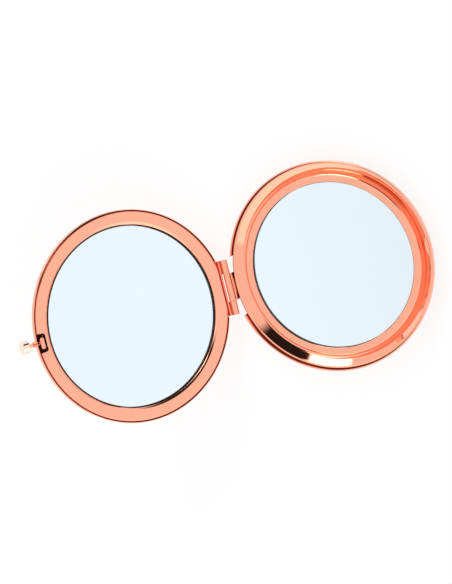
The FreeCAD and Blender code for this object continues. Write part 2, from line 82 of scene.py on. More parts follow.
# The lid's pieces are made shut, over the base, and turned back about the hinge pin
HINGE = joint("lid_hinge")
PIVOT = Vector(HINGE["pos_m"])
OPENING = math.radians(-HINGE["range_deg"][0])
OPENED = (Matrix.Translation(PIVOT) @ Matrix.Rotation(OPENING, 4, Vector(HINGE["axis"]))
          @ Matrix.Translation(-PIVOT))
TRAVEL = joint("button_press")["range_m"][1]


def shut_box(node):
    """Corners of one of the lid's nodes, turned shut."""
    shut = OPENED.inverted()
    points = [shut @ vertex.co for vertex in frame["nodes"][node].data.vertices]
    low = Vector(min(point[axis] for point in points) for axis in range(3))
    high = Vector(max(point[axis] for point in points) for axis in range(3))
    return Box(low, high)


BASE_SHELL = Box(*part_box("base_shell"))
BASE_FRAME = Box(*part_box("base_frame"))
BASE_MIRROR = Box(*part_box("base_mirror"))
BASE_LEAF = Box(*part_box("base_hinge_leaf"))
PIN = Box(*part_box("hinge_pin"))
HOOK = Box(*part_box("catch_hook"))
LID_SHELL = shut_box("lid_shell")
LID_FRAME = shut_box("lid_frame")
LID_MIRROR = shut_box("lid_mirror")
LID_LEAF = shut_box("lid_hinge_leaf")
KNOB = shut_box("button_knob")
STEM = shut_box("button_stem")
BUSH = shut_box("button_bush")
LATCH = shut_box("latch_block")
SPRING = shut_box("latch_spring")

# Section of the hinge, as X and Z
HINGE_AXIS = (PIVOT.x, PIVOT.z)
PIN_RADIUS = PIN.high.x - PIVOT.x
BARREL = LID_LEAF.high.z - PIVOT.z


# Sizes and colours that a user would change

def length(name, description, millimetres):
    return FloatProperty(name=name, description=description, default=millimetres * MM, min=0,
                         unit="LENGTH", precision=5)


def tone(name, description, colour):
    return FloatVectorProperty(name=name, description=description, default=colour, size=3,
                               subtype="COLOR", min=0, max=1)


def share(name, description, value):
    return FloatProperty(name=name, description=description, default=value, min=0, max=1,
                         subtype="FACTOR")


def slope(name, description, degrees):
    return FloatProperty(name=name, description=description, default=math.radians(degrees), min=0,
                         subtype="ANGLE")


def heading(name, description, degrees):
    return FloatProperty(name=name, description=description, default=math.radians(degrees),
                         subtype="ANGLE")


class CompactSizes(bpy.types.PropertyGroup):
    """Sizes that the frame doesn't give."""

    sheet: length("Shell sheet", "Thickness of the stamped shells", 0.45)
    rim_round: length("Rim rounding", "Rounded lip of each shell, outside", 0.2)
    rim_taper: length("Rim taper", "Thinning of the lid shell's lip, inside", 0.2)
    rim_depth: length("Rim depth", "How deep the thinning of the lid shell's lip reaches", 0.6)
    # Below the plated depths the shells' insides get dark painted shade, and the lid's red painted shade
    # in its seam reaches down the lid's plated depth
    base_plated: length("Base plating", "Plated depth inside the base shell's rim", 1.9)
    lid_plated: length("Lid plating", "Aged plating inside the lid shell's rim", 2.5)
    base_wall: length("Base wall", "Straight wall of the base shell under its rim", 1.0)
    lid_wall: length("Lid wall", "Straight wall of the lid shell at its rim", 0.8)
    # Width of the dark painted shade on the base frame's outer edge, in the seam
    seam: length("Seam line", "Lacquered outer edge of the base's frame", 0.2)
    gap: length("Frame gap", "Gap between the base shell and the frame in it", 0.08)
    mirror_gap: length("Mirror gap", "Gap round each mirror", 0.1)
    base_recess: length("Base mirror recess", "Flat ring down to the base's mirror", 0.3)
    floor: length("Frame floor", "Base frame's floor under the mirror", 1.3)
    flange_width: length("Flange width", "Flat top of the base frame's flange", 0.35)
    lip_drop: length("Lip drop", "Groove's outer lip below the frame's top", 0.2)
    lip_round: length("Lip rounding", "Rounding of the groove's outer lip", 1.3)
    groove_depth: length("Groove depth", "Flat ring down to the bottom of the groove", 1.39)
    groove_hollow: length("Groove hollow", "Hollow at the foot of the groove's outer side", 1.5)
    groove_edge: length("Groove edge", "Rounded edge of the base's ring at the groove", 1.2)
    outer_slope: slope("Groove outer slope", "Slope of the groove's outer side", 37)
    foot_slope: slope("Groove foot slope", "Slope at which the hollow meets the groove's inner side", 12)
    inner_slope: slope("Groove inner slope", "Slope of the groove's inner side", 70)
    ring_edge: length("Ring edge", "Rounded edge of the lid's ring at its mirror", 2.2)
    ring_slope: slope("Ring slope", "Slope at which the rounded edges of the lid's ring end", 40)
    ring_rim: length("Ring rim", "Rounded outer edge of the lid's ring", 0.8)
    # Outward lean from which the lid ring's outer edge gets red painted shade
    aged_lean: share("Aged lean", "Outward lean at which the ring's outer edge is aged", 0.45)
    ring_thickness: length("Ring plate", "Plate of the lid's ring", 0.5)
    ring_flat: length("Ring flat", "Straight cut of the lid's ring along the hinge", 0.95)
    skirt: length("Skirt", "Wall round the lid's mirror", 0.5)
    lid_floor: length("Lid frame floor", "Lid frame's floor behind the mirror", 0.5)
    edge_round: length("Edge rounding", "Small rounding of pressed edges", 0.12)
    base_bevel: length("Base glass bevel", "Ground bevel round the front of the base's mirror", 0.06)
    lid_bevel: length("Lid glass bevel", "Ground bevel round the front of the lid's mirror", 0.35)
    backing: length("Backing", "Silvering clear of the pad behind it", 0.02)
    leaf: length("Leaf sheet", "Sheet of the hinge leaves", 0.4)
    leaf_rise: length("Leaf rise", "Base leaf's plate above its arm", 0.85)
    leaf_gap: length("Leaf gap", "Base shell's notch below the hinge leaf", 0.05)
    leaf_soft: length("Leaf edges", "Rounding of the hinge leaves' edges", 0.07)
    leaf_proud: length("Leaf edge", "Lid leaf's edge outside the ring's edge, between its arms", 0.45)
    notch_margin: length("Notch margin", "Base shell's notch beyond the hinge", 0.7)
    arm_margin: length("Arm margin", "Lid shell's notch beyond its hinge leaf", 0.2)
    crease: length("Leaf crease", "Crease in the lid's leaf, from the ring's straight cut", 0.7)
    crease_depth: length("Crease depth", "Deep side of the crease in the lid's leaf", 0.34)
    bore_play: length("Bore play", "Knuckles' bore beyond the pin", 0.03)
    knuckle_gap: length("Knuckle gap", "Gap between the middle knuckle and the outer ones", 0.1)
    pin_dome: length("Pin ends", "Chamfer of the pin's ends", 0.12)
    hook_plate: length("Hook plate", "Plate of the catch hook", 0.45)
    hook_soft: length("Hook edges", "Rounding of the catch hook's edges", 0.09)
    beak: length("Hook beak", "Bent top of the catch hook", 0.4)
    beak_width: length("Beak width", "Bent top of the catch hook, along the rim", 5.6)
    knob_edge: length("Knob edge", "Rounded edges of the push knob", 0.3)
    knob_crown: length("Knob crown", "Rise of the push knob's face to its middle", 0.08)
    stem_play: length("Stem play", "Bores of knob and latch beyond the stem", 0.02)
    bush_play: length("Bush play", "Bush's bore beyond the stem", 0.05)
    chamfer: length("Chamfer", "Chamfer of stem and bush", 0.1)
    lip: length("Latch lip", "Plate of the latch's lip", 0.45)
    lip_soft: length("Lip edges", "Rounding of the latch lip's edges", 0.14)
    block_width: length("Block width", "Block behind the latch's lip, along the rim", 3.2)
    block_depth: length("Block depth", "Block behind the latch's lip, across the rim", 0.65)
    block_root: share("Block root", "Where in the lip's plate the latch's block begins", 0.6)
    strip: length("Spring strip", "Strip of the bow spring", 0.2)
    slot_width: length("Slot width", "Slot for hook and latch, along the rim", 6.5)
    slot_corner: length("Slot corner", "Rounding of the slot's inner corners", 0.8)
    slot_play: length("Slot play", "Slot's end beyond the latch, pressed home", 0.1)
    segments: IntProperty(name="Segments", description="Faces round each turned piece", default=256,
                          min=24, max=512)


class CompactColours(bpy.types.PropertyGroup):
    """Finishes of the pieces."""

    metal: tone("Rose gold", "Polished plating on the metal pieces", (1.0, 0.445, 0.30))
    metal_deep: tone("Rose gold, deep", "Plating where it is a little thicker", (0.97, 0.41, 0.27))
    plated: tone("Plated ring", "Plating on the lid's moulded ring", (1.0, 0.46, 0.31))
    # Paler tone that paints in the bright highlight on the push knob
    knob: tone("Knob", "Paler plating on the push knob", (1.0, 0.80, 0.66))
    silver: tone("Mirror", "Silvering behind the glass", (0.84, 0.935, 1.0))
    # Near-black red-brown edge: the glass edge's own dark colour together with painted shade of the gap
    # round each mirror
    glass_edge: tone("Glass edge", "Ground edge of the mirrors", (0.016, 0.007, 0.007))
    steel: tone("Spring steel", "Pin and spring", (0.62, 0.60, 0.58))
    foam: tone("Foam", "Pads inside the case", (0.12, 0.12, 0.13))
    # Dark red-brown painted shade: inside the case, on the pocket walls round the mirrors and on the base
    # frame's outer edge, where seams and gaps lie in shade
    lacquer: tone("Lacquer", "Dark lacquer inside the case, round the mirrors and in the base's seam",
                  (0.17, 0.02, 0.014))
    # Red painted shade: darker red plating in the lid's seam, on its ring's outer edge and in the folds
    # of its hinge leaf
    aged: tone("Aged plating", "Plating in the lid's seam and in its leaf's folds", (0.74, 0.12, 0.07))
    gloss: share("Metal roughness", "Roughness of the polished plating", 0.05)


class CompactStage(bpy.types.PropertyGroup):
    """Camera and light."""

    target: FloatVectorProperty(name="Target", description="Point that the camera looks at", size=3,
                                default=(-0.0375, -0.00121, 0.0075), subtype="TRANSLATION")
    distance: length("Camera distance", "Camera to target", 1406.8)
    azimuth: heading("Azimuth", "Camera round the Z axis from +X", 16.558)
    elevation: heading("Elevation", "Camera above the horizon", 68.252)
    roll: heading("Roll", "Camera about its own line of sight", -119.431)
    lens: FloatProperty(name="Lens", description="Focal length on a sensor 36 mm wide", default=339.279,
                        unit="CAMERA")
    floor_tone: tone("Floor", "Pale studio floor", (0.97, 0.97, 0.97))
    floor_glow: share("Floor glow", "How far the floor shows as plain white", 0.8)
    room: FloatProperty(name="Room", description="Brightness of the white room", default=1.0, min=0)


def sizes():
    return bpy.context.scene.compact_sizes


def colours():
    return bpy.context.scene.compact_colours


# Points and outlines

MIDDLE = (0, 0)
SUPPORT = 0.03 * MM


def around(centre, radius, angle):
    return centre[0] + radius * math.cos(angle), centre[1] + radius * math.sin(angle)


def circle_points(x, y, radius, steps=64):
    return [around((x, y), radius, math.tau / steps * i) for i in range(steps)]


def arc_points(centre, radius, first, last, steps):
    sweep = (last - first) / steps
    return [around(centre, radius, first + sweep * i) for i in range(steps + 1)]


def sector_loop(inner, outer, half_angle, steps=24):
    """Piece of a ring, to both sides of the X axis."""
    loop = arc_points(MIDDLE, inner, half_angle, -half_angle, steps)
    return loop + arc_points(MIDDLE, outer, -half_angle, half_angle, steps)


def slot_loop(inner, outer, half_angle, corner, steps=8):
    """Piece of a ring with its two inner corners rounded."""
    turn = half_angle - math.asin(corner / (inner + corner))
    middle_x, middle_y = around(MIDDLE, inner + corner, turn)
    loop = arc_points((middle_x, middle_y), corner, turn + math.pi / 2, turn + math.pi, steps)
    loop += arc_points(MIDDLE, inner, turn, -turn, 2 * steps)[1:-1]
    loop += arc_points((middle_x, -middle_y), corner, math.pi - turn, 1.5 * math.pi - turn, steps)
    return loop + arc_points(MIDDLE, outer, -half_angle, half_angle, 2 * steps)


def box_loop(low_x, low_y, high_x, high_y):
    return [(low_x, low_y), (high_x, low_y), (high_x, high_y), (low_x, high_y)]


class Outline:
    """Section of a turned piece, as radius and height, with lines and arcs between its points."""

    def __init__(self, r, z):
        self.points = [(r, z)]

    def line(self, r, z):
        """Straight stretch, with a point close to each end that keeps its shading flat."""
        start_r, start_z = self.points[-1]
        reach = math.hypot(r - start_r, z - start_z)
        if reach > 4 * SUPPORT:
            for part in (SUPPORT / reach, 1 - SUPPORT / reach):
                self.points.append((start_r + (r - start_r) * part, start_z + (z - start_z) * part))
        self.points.append((r, z))
        return self

    def arc(self, r, z, centre, turn, steps):
        """Arc to a point about a centre, turning left (1) or right (-1)."""
        start_r, start_z = self.points[-1]
        first = math.atan2(start_z - centre[1], start_r - centre[0])
        last = math.atan2(z - centre[1], r - centre[0])
        sweep = (last - first) * turn % math.tau * turn
        radius = math.hypot(start_r - centre[0], start_z - centre[1])
        for step in range(1, steps):
            self.points.append(around(centre, radius, first + sweep * step / steps))
        self.points.append((r, z))
        return self

    def closed(self):
        return self.line(*self.points[0])


def rod_outline(radius, start, end, chamfer):
    """Rod with chamfered ends."""
    outline = Outline(0, start).line(radius - chamfer, start).line(radius, start + chamfer)
    return outline.line(radius, end - chamfer).line(radius - chamfer, end).line(0, end)


class Crown(NamedTuple):
    """Points and centres of a ring's rounded edge, from its wall to its face."""

    foot: tuple
    bend: tuple
    flat: tuple
    small_centre: tuple
    wide_centre: tuple


def crown(wall, face, out, up, radius, tilt, small):
    """Rounded edge of a ring.

    A small rounding leaves the wall, and a wide arc carries on from the given tilt to the flat face.
    The wall looks outwards (out 1) or inwards (-1), and the face up (1) or down (-1).
    """
    small_r = wall - out * small
    wide_r = small_r - out * (radius - small) * math.sin(tilt)
    wide_z = face - up * radius
    small_z = wide_z + up * (radius - small) * math.cos(tilt)
    bend = (small_r + out * small * math.sin(tilt), small_z + up * small * math.cos(tilt))
    return Crown((wall, small_z), bend, (wide_r, face), (small_r, small_z), (wide_r, wide_z))


# Node helpers

def math_node(tree, operation, first, second=None):
    """Math node on sockets or plain numbers."""
    node = tree.nodes.new("ShaderNodeMath")
    node.operation = operation
    for socket, value in zip(node.inputs, (first, second)):
        if isinstance(value, (int, float)):
            socket.default_value = value
        elif value is not None:
            tree.links.new(value, socket)
    return node.outputs[0]


def turned_tree():
    """Geometry Nodes: turn the points of a section right round the Z axis."""
    tree = bpy.data.node_groups.get("Turned piece")
    if tree:
        return tree
    tree = bpy.data.node_groups.new("Turned piece", "GeometryNodeTree")
    inputs = {"Section": "Geometry", "Segments": "Int", "Weld": "Float", "Finish": "Material"}
    for name, kind in inputs.items():
        tree.interface.new_socket(name, in_out="INPUT", socket_type="NodeSocket" + kind)
    tree.interface.new_socket("Piece", in_out="OUTPUT", socket_type="NodeSocketGeometry")
    link = tree.links.new

    def node(kind, **settings):
        made = tree.nodes.new(kind)
        for key, value in settings.items():
            setattr(made, key, value)
        return made

    # a grid with one row for each point of the section, and one column more than there are segments
    given = node("NodeGroupInput").outputs
    count = node("GeometryNodeAttributeDomainSize", component="MESH")
    link(given["Section"], count.inputs[0])
    columns = math_node(tree, "ADD", given["Segments"], 1)
    grid = node("GeometryNodeMeshGrid")
    link(count.outputs["Point Count"], grid.inputs["Vertices X"])
    link(columns, grid.inputs["Vertices Y"])

    # each point of the grid goes to its row's point of the section, turned by its column's angle
    index = node("GeometryNodeInputIndex").outputs[0]
    row = math_node(tree, "FLOOR", math_node(tree, "DIVIDE", index, columns))
    column = math_node(tree, "MODULO", index, columns)
    turn = math_node(tree, "DIVIDE", column, given["Segments"])
    angle = math_node(tree, "MULTIPLY", turn, math.tau)
    sample = node("GeometryNodeSampleIndex", data_type="FLOAT_VECTOR", domain="POINT")
    link(given["Section"], sample.inputs["Geometry"])
    link(node("GeometryNodeInputPosition").outputs[0], sample.inputs["Value"])
    link(row, sample.inputs["Index"])
    section = node("ShaderNodeSeparateXYZ")
    link(sample.outputs[0], section.inputs[0])
    place = node("ShaderNodeCombineXYZ")
    for axis, wave in (("X", "COSINE"), ("Y", "SINE")):
        part = math_node(tree, wave, angle)
        link(math_node(tree, "MULTIPLY", section.outputs["X"], part), place.inputs[axis])
    link(section.outputs["Z"], place.inputs["Z"])
    moved = node("GeometryNodeSetPosition")
    link(grid.outputs["Mesh"], moved.inputs["Geometry"])
    link(place.outputs[0], moved.inputs["Position"])

    # the first and last columns meet, and so do the points on the axis
    welded = node("GeometryNodeMergeByDistance")
    link(moved.outputs[0], welded.inputs["Geometry"])
    link(given["Weld"], welded.inputs["Distance"])
    real = node("GeometryNodeRealizeInstances")
    link(welded.outputs[0], real.inputs["Geometry"])
    dressed = node("GeometryNodeSetMaterial")
    link(real.outputs[0], dressed.inputs["Geometry"])
    link(given["Finish"], dressed.inputs["Material"])
    link(dressed.outputs[0], node("NodeGroupOutput").inputs[0])
    return tree


# Mesh helpers

SHARP = math.radians(38)
WELD = 0.0005 * MM
UNMOVED = Matrix.Identity(4)

# Turns that lay a prism's height along X, or along Y with its outline in X and Z
ALONG_X = Matrix(((0, 0, 1, 0), (0, 1, 0, 0), (-1, 0, 0, 0), (0, 0, 0, 1)))
ACROSS_Y = Matrix(((1, 0, 0, 0), (0, 0, -1, 0), (0, 1, 0, 0), (0, 0, 0, 1)))


def new_piece(name, mesh):
    piece = bpy.data.objects.new(name, mesh)
    bpy.context.scene.collection.objects.link(piece)
    return piece


def settle(piece):
    """Turn the modifiers' result into the piece's own plain mesh."""
    graph = bpy.context.evaluated_depsgraph_get()
    mesh = bpy.data.meshes.new_from_object(piece.evaluated_get(graph), depsgraph=graph)
    mesh.name = piece.name
    piece.modifiers.clear()
    piece.data = mesh
    return piece


def dress(piece, finish):
    """Give a piece one finish all over."""
    mesh = piece.data
    mesh.materials.clear()
    mesh.materials.append(finish)
    mesh.polygons.foreach_set("material_index", [0] * len(mesh.polygons))
    return piece


def tidy(piece):
    """Close doubles, face outwards, and shade smooth but for sharp edges."""
    form = bmesh.new()
    form.from_mesh(piece.data)
    bmesh.ops.remove_doubles(form, verts=form.verts, dist=WELD)
    bmesh.ops.dissolve_degenerate(form, edges=form.edges, dist=WELD)
    bmesh.ops.recalc_face_normals(form, faces=form.faces)
    form.to_mesh(piece.data)
    form.free()
    piece.data.shade_smooth()
    piece.data.set_sharp_from_angle(angle=SHARP)
    return piece


def turned(name, outline, finish, place=UNMOVED, segments=None):
    """A piece turned round its axis by the Geometry Nodes tree, then put in its place."""
    mesh = bpy.data.meshes.new(name)
    points = [(r, 0, z) for r, z in outline.points]
    mesh.from_pydata(points, [(i, i + 1) for i in range(len(points) - 1)], [])
    piece = new_piece(name, mesh)
    modifier = piece.modifiers.new("Turned", "NODES")
    modifier.node_group = turned_tree()
    values = {"Segments": segments or sizes().segments, "Weld": WELD, "Finish": finish}
    for item in modifier.node_group.interface.items_tree:
        if item.in_out == "INPUT" and item.name in values:
            modifier[item.identifier] = values[item.name]
    settle(piece)
    piece.data.transform(place)
    return tidy(dress(piece, finish))


def prism(name, loops, low, high, finish, place=UNMOVED):
    """Flat outlines, the first the outside and the others holes, raised from low to high along Z."""
    form = bmesh.new()
    edges = []
    for loop in loops:
        corners = [form.verts.new((x, y, low)) for x, y in loop]
        edges += [form.edges.new((corners[i - 1], corners[i])) for i in range(len(corners))]
    bmesh.ops.triangle_fill(form, use_beauty=True, use_dissolve=True, edges=edges)
    raised = bmesh.ops.extrude_face_region(form, geom=form.faces[:])
    tops = [item for item in raised["geom"] if isinstance(item, bmesh.types.BMVert)]
    bmesh.ops.translate(form, verts=tops, vec=(0, 0, high - low))
    bmesh.ops.transform(form, matrix=place, verts=form.verts)
    mesh = bpy.data.meshes.new(name)
    form.to_mesh(mesh)
    form.free()
    mesh.materials.append(finish)
    return tidy(new_piece(name, mesh))


def boolean(piece, other, operation):
    """Join another piece to this one or cut it out, and drop the other."""
    modifier = piece.modifiers.new("Boolean", "BOOLEAN")
    modifier.operation = operation
    modifier.solver = "EXACT"
    modifier.object = other
    finish = piece.data.materials[0]
    settle(piece)
    mesh = other.data
    bpy.data.objects.remove(other)
    bpy.data.meshes.remove(mesh)
    return tidy(dress(piece, finish))


def cut(piece, loop, low, high, place=UNMOVED):
    """Cut the prism of an outline out of a piece."""
    return boolean(piece, prism("cutter", [loop], low, high, rose_gold(), place), "DIFFERENCE")


def soften(piece, width, steps=3):
    """Round the sharp edges."""
    modifier = piece.modifiers.new("Bevel", "BEVEL")
    modifier.width = width
    modifier.segments = steps
    modifier.limit_method = "ANGLE"
    modifier.angle_limit = SHARP
    modifier.harden_normals = True
    return settle(piece)


def paint(piece, finish, chosen):
    """Finish the faces that a test picks, given each face with its radius and its outward lean."""
    index = piece.data.materials.find(finish.name)
    if index < 0:
        index = len(piece.data.materials)
        piece.data.materials.append(finish)
    for face in piece.data.polygons:
        radius = face.center.xy.length
        lean = face.normal.xy.dot(face.center.xy) / radius if radius else 0
        if chosen(face, radius, lean):
            face.material_index = index
    return piece


def take(piece, node, body):
    """Let a finished piece stand for its node."""
    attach(piece, body)
    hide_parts(node)


def open_out(piece):
    """Swing a piece of the lid back from shut to its place."""
    piece.data.transform(OPENED)
    return piece


# Finishes

# Range that a noise mostly stays in
NOISE_LOW = 0.3
NOISE_HIGH = 0.7

# Roughness of plating where its haze is thinnest and thickest, as shares of the set roughness
HAZE_LOW = 0.6
HAZE_HIGH = 1.5

WAVE_DEPTH = 0.002 * MM
FOAM_DEPTH = 0.05 * MM
STEEL_ROUGHNESS = 0.22


def once(make):
    """Let a finish's function make it when first called, and find it by its name after that."""

    def find_or_make():
        return bpy.data.materials.get(make.__name__) or make()

    return find_or_make


def new_finish(name, constants):
    finish = bpy.data.materials.new(name)
    finish.use_nodes = True
    shader = finish.node_tree.nodes["Principled BSDF"]
    for socket, value in constants.items():
        shader.inputs[socket].default_value = value
    return finish, finish.node_tree, shader


def shaded(colour, factor):
    return [part * factor for part in colour]


def noise(tree, scale, detail=3.0, roughness=0.5):
    texture = tree.nodes.new("ShaderNodeTexNoise")
    texture.inputs["Scale"].default_value = scale
    texture.inputs["Detail"].default_value = detail
    texture.inputs["Roughness"].default_value = roughness
    places = tree.nodes.new("ShaderNodeTexCoord")
    tree.links.new(places.outputs["Object"], texture.inputs["Vector"])
    return texture.outputs["Fac"]


def spread(tree, value, low, high):
    """Map a noise's middle range to values between low and high."""
    node = tree.nodes.new("ShaderNodeMapRange")
    node.inputs["From Min"].default_value = NOISE_LOW
    node.inputs["From Max"].default_value = NOISE_HIGH
    node.inputs["To Min"].default_value = low
    node.inputs["To Max"].default_value = high
    tree.links.new(value, node.inputs["Value"])
    return node.outputs["Result"]


def mixed(tree, value, first, second):
    """Mix two colours by a value."""
    node = tree.nodes.new("ShaderNodeMix")
    node.data_type = "RGBA"
    tree.links.new(value, node.inputs["Factor"])
    first_input, second_input = (socket for socket in node.inputs if socket.type == "RGBA")
    first_input.default_value = (*first, 1)
    second_input.default_value = (*second, 1)
    return next(socket for socket in node.outputs if socket.type == "RGBA")


def bumped(tree, shader, height, distance, strength):
    node = tree.nodes.new("ShaderNodeBump")
    node.inputs["Distance"].default_value = distance
    node.inputs["Strength"].default_value = strength
    tree.links.new(height, node.inputs["Height"])
    tree.links.new(node.outputs["Normal"], shader.inputs["Normal"])


def polished(name, first, second, gloss):
    """Bright plating: clouded tone, hazy roughness and the faint waves of a stamped sheet."""
    finish, tree, shader = new_finish(name, {"Metallic": 1.0})
    clouds = noise(tree, scale=90.0)
    haze = noise(tree, scale=420.0, detail=6.0, roughness=0.7)
    waves = noise(tree, scale=260.0, detail=2.0)
    tree.links.new(mixed(tree, clouds, first, second), shader.inputs["Base Color"])
    roughness = spread(tree, haze, gloss * HAZE_LOW, gloss * HAZE_HIGH)
    tree.links.new(roughness, shader.inputs["Roughness"])
    bumped(tree, shader, waves, WAVE_DEPTH, strength=0.3)
    return finish


def matt(name, constants, first, second, tone_scale, rough_scale, rough_low, rough_high):
    """Dull coat with a clouded tone and a clouded roughness."""
    finish, tree, shader = new_finish(name, constants)
    clouds = noise(tree, tone_scale)
    tree.links.new(mixed(tree, clouds, first, second), shader.inputs["Base Color"])
    roughness = spread(tree, noise(tree, rough_scale), rough_low, rough_high)
    tree.links.new(roughness, shader.inputs["Roughness"])
    return finish


@once
def rose_gold():
    tones = colours()
    return polished("rose_gold", tones.metal, tones.metal_deep, tones.gloss)


@once
def plated_ring():
    tones = colours()
    return polished("plated_ring", tones.plated, tones.metal, gloss=tones.gloss * 1.2)


# Pale plating on the knob, a painted highlight
@once
def highlight_pale_gold():
    tones = colours()
    return polished("highlight_pale_gold", tones.knob, shaded(tones.knob, factor=0.96), tones.gloss)


# Darker red plating that paints the shade of seams and folds
@once
def shade_painted_gold():
    tones = colours()
    return polished("shade_painted_gold", tones.aged, shaded(tones.aged, factor=0.85), gloss=tones.gloss * 2)


@once
def spring_steel():
    tones = colours()
    return polished("spring_steel", tones.steel, shaded(tones.steel, factor=0.85), STEEL_ROUGHNESS)


@once
def front_glass():
    finish, tree, shader = new_finish("front_glass", {
        "Transmission Weight": 1.0, "IOR": 1.5, "Specular IOR Level": 0.12, "Roughness": 0.0})
    clear = (1.0, 1.0, 1.0)
    bluish = (0.985, 0.995, 1.0)
    clouds = noise(tree, scale=60.0)
    tree.links.new(mixed(tree, clouds, clear, bluish), shader.inputs["Base Color"])
    return finish


@once
def silvering_with_painted_shade():
    """Silver, with painted shade that dims it a little towards the catch on the base's mirror."""
    finish, tree, shader = new_finish("silvering_with_painted_shade", {"Metallic": 1.0, "Roughness": 0.0})
    silver = colours().silver
    places = tree.nodes.new("ShaderNodeTexCoord")
    axes = tree.nodes.new("ShaderNodeSeparateXYZ")
    tree.links.new(places.outputs["Object"], axes.inputs[0])
    across = tree.nodes.new("ShaderNodeMapRange")
    across.inputs["From Min"].default_value = -BASE_MIRROR.high.x
    across.inputs["From Max"].default_value = BASE_MIRROR.high.x
    tree.links.new(axes.outputs["X"], across.inputs["Value"])
    # painted shade: the silver darkens across X on the base's mirror
    silvered = mixed(tree, across.outputs["Result"], silver, shaded(silver, factor=0.94))
    tree.links.new(silvered, shader.inputs["Base Color"])
    return finish


# Dark edge of the glass, partly its own colour and partly painted shade of the gap round it
@once
def ground_edge_and_shade():
    edge = colours().glass_edge
    return matt("ground_edge_and_shade", {"Specular IOR Level": 0.1}, edge, shaded(edge, factor=2.0),
                tone_scale=900.0, rough_scale=2500.0, rough_low=0.4, rough_high=0.6)


# Dull dark finish that paints shade into seams, pockets and the inside of the case
@once
def dark_shadow_paint():
    lacquer = colours().lacquer
    return matt("dark_shadow_paint", {"Specular IOR Level": 0.1}, lacquer, shaded(lacquer, factor=1.5),
                tone_scale=700.0, rough_scale=1500.0, rough_low=0.5, rough_high=0.7)


@once
def foam():
    finish, tree, shader = new_finish("foam", {})
    tones = colours()
    cells = noise(tree, scale=3500.0, detail=2.0)
    tree.links.new(mixed(tree, cells, tones.foam, shaded(tones.foam, factor=1.6)),
                   shader.inputs["Base Color"])
    tree.links.new(spread(tree, cells, low=0.8, high=0.95), shader.inputs["Roughness"])
    bumped(tree, shader, cells, FOAM_DEPTH, strength=0.6)
    return finish


# Pieces

# Share of its normal along a direction from which a face leans that way, and looks straight that way
LEANING = 0.5
STRAIGHT = 0.95


class MakeShells(bpy.types.Operator):
    """Stamped shells of base and lid, with the notches that the hinge needs"""

    bl_idname = "compact.shells"
    bl_label = "Shells"

    def shell(self, name, radius, back, rim, wall, taper):
        """One shell, from the middle of its back to its rim and in again."""
        s = sizes()
        up = 1 if rim > back else -1
        edge_z = rim - up * wall
        edge_r = radius - abs(edge_z - back)
        inner = radius - s.sheet
        lining = back + up * s.sheet
        lip = rim - up * s.rim_round
        outline = Outline(0, back).line(edge_r, back)
        outline.arc(radius, edge_z, (edge_r, edge_z), up, steps=28)
        outline.line(radius, lip)
        outline.arc(radius - s.rim_round, rim, (radius - s.rim_round, lip), up, steps=6)
        outline.line(inner + taper, rim).line(inner, rim - up * s.rim_depth).line(inner, edge_z)
        outline.arc(edge_r, lining, (edge_r, edge_z), -up, steps=20)
        outline.line(0, lining)
        return turned(name, outline, rose_gold())

    def notch(self, shell, radius, margin, low, high):
        """Cut the hinge's notch in a shell's wall."""
        half = PIN.high.y + margin
        outside = radius + sizes().sheet
        cut(shell, box_loop(-outside, -half, -radius / 2, half), low, high)

    def line_inside(self, shell, back, rim, plated):
        """Dark painted shade inside a shell, but for the plated depth at its rim."""
        up = 1 if rim > back else -1
        middle = (back + rim) / 2

        def inside(face, _, lean):
            towards_middle = face.normal.z * (face.center.z - middle) < 0 and abs(face.normal.z) > LEANING
            return (lean < -LEANING or towards_middle) and (rim - face.center.z) * up > plated

        paint(shell, dark_shadow_paint(), inside)

    def execute(self, context):
        s = sizes()
        radius = BASE_SHELL.high.y
        back, rim = BASE_SHELL.low.z, BASE_SHELL.high.z
        base = self.shell("base_shell_skin", radius, back, rim, s.base_wall, taper=0)
        self.notch(base, radius, s.notch_margin, BASE_LEAF.low.z - s.leaf_gap, rim + s.sheet)
        self.line_inside(base, back, rim, s.base_plated)
        take(base, "base_shell", "base")

        back, rim = LID_SHELL.high.z, LID_SHELL.low.z
        lid = self.shell("lid_shell_skin", radius, back, rim, s.lid_wall, s.rim_taper)
        self.notch(lid, radius, s.arm_margin, rim - s.sheet, LID_LEAF.high.z + s.arm_margin)
        bush_z = (BUSH.low.z + BUSH.high.z) / 2
        hole = circle_points(-bush_z, 0, BUSH.high.y)
        cut(lid, hole, radius - 4 * s.sheet, radius + s.sheet, ALONG_X)
        self.line_inside(lid, back, rim, s.lid_plated)
        # red painted shade inside the lid shell's rim, at the seam with the ring
        shade_painted_to = rim + s.lid_plated
        paint(lid, shade_painted_gold(), lambda face, _, lean: lean < -LEANING and face.center.z < shade_painted_to)
        take(open_out(lid), "lid_shell", "lid")
        return {"FINISHED"}


